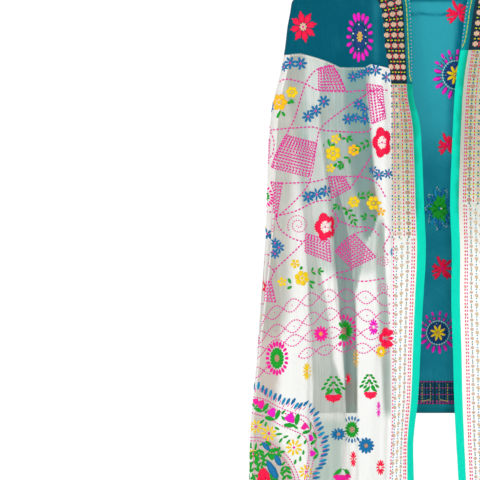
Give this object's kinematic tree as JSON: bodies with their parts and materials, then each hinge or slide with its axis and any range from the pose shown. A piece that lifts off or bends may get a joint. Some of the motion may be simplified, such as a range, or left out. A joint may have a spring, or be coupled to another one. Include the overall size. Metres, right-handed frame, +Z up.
{
  "type": "embroidered shawl on a wooden clothes hanger",
  "caption": "Long sheer embroidered shawl with woven borders, hung open like a shrug over a wooden clothes hanger.",
  "frame": {"origin": "the point inside the top of the hanger's hook, where a rail or peg carries it", "axes": "+Z up, -Y towards the front opening, +X towards the shawl's own left"},
  "size_m": [0.602, 0.0947, 1.1178],
  "materials": {
    "teal_georgette": "sheer crepe georgette, deep teal",
    "cream_georgette": "sheer crepe georgette, cream, hand embroidered",
    "deep_brocade": "woven border, deep teal ground, gold and red figure",
    "pale_brocade": "woven border, cream ground, gold and red figure",
    "turquoise_tape": "satin edge tape, turquoise",
    "mint_tape": "satin edge tape, mint green",
    "beech": "waxed beech",
    "hook_steel": "plated steel wire"
  },
  "bodies": {
    "root": {"middle_panel": "teal_georgette", "end_panel_right": "cream_georgette", "end_panel_left": "cream_georgette", "border_upper_middle": "deep_brocade", "border_lower_middle": "deep_brocade", "border_upper_right": "pale_brocade", "border_upper_left": "pale_brocade", "border_lower_right": "pale_brocade", "border_lower_left": "pale_brocade", "tape_upper_middle": "turquoise_tape", "tape_lower_middle": "turquoise_tape", "tape_upper_right": "mint_tape", "tape_upper_left": "mint_tape", "tape_lower_right": "mint_tape", "tape_lower_left": "mint_tape", "hanger_arms": "beech", "hanger_hook": "hook_steel"}
  },
  "joints": []
}
